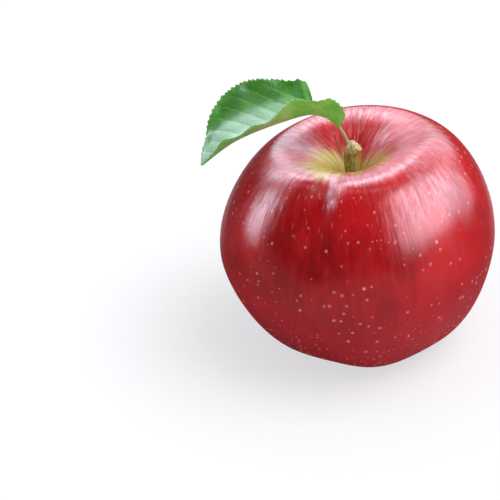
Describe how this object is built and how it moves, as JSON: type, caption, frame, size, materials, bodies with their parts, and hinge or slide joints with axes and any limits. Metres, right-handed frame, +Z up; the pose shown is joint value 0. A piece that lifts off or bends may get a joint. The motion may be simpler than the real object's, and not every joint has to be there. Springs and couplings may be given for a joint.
{
  "type": "apple",
  "caption": "Whole ripe red apple with its short woody stem, a folded green leaf on its stalk, and the dried calyx in the basin underneath.",
  "frame": {"origin": "centre of the bounding box's bottom face, on the surface that the apple stands on", "axes": "+Z up through the core towards the stem, -X to the side that the leaf points to, -Y to the front"},
  "size_m": [0.085, 0.079, 0.0814],
  "materials": {
    "skin": "waxy polished apple skin, crimson with fine streaks and pale dots",
    "stem": "olive brown bark, cream where it is torn",
    "leaf": "satin green upper face, matt yellow-green underside",
    "calyx": "dry, dull and fibrous"
  },
  "bodies": {
    "root": {"fruit": "skin", "stem": "stem", "leaf": "leaf", "sepal_1": "calyx", "sepal_2": "calyx", "sepal_3": "calyx", "sepal_4": "calyx", "sepal_5": "calyx", "stamens": "calyx"}
  },
  "joints": []
}
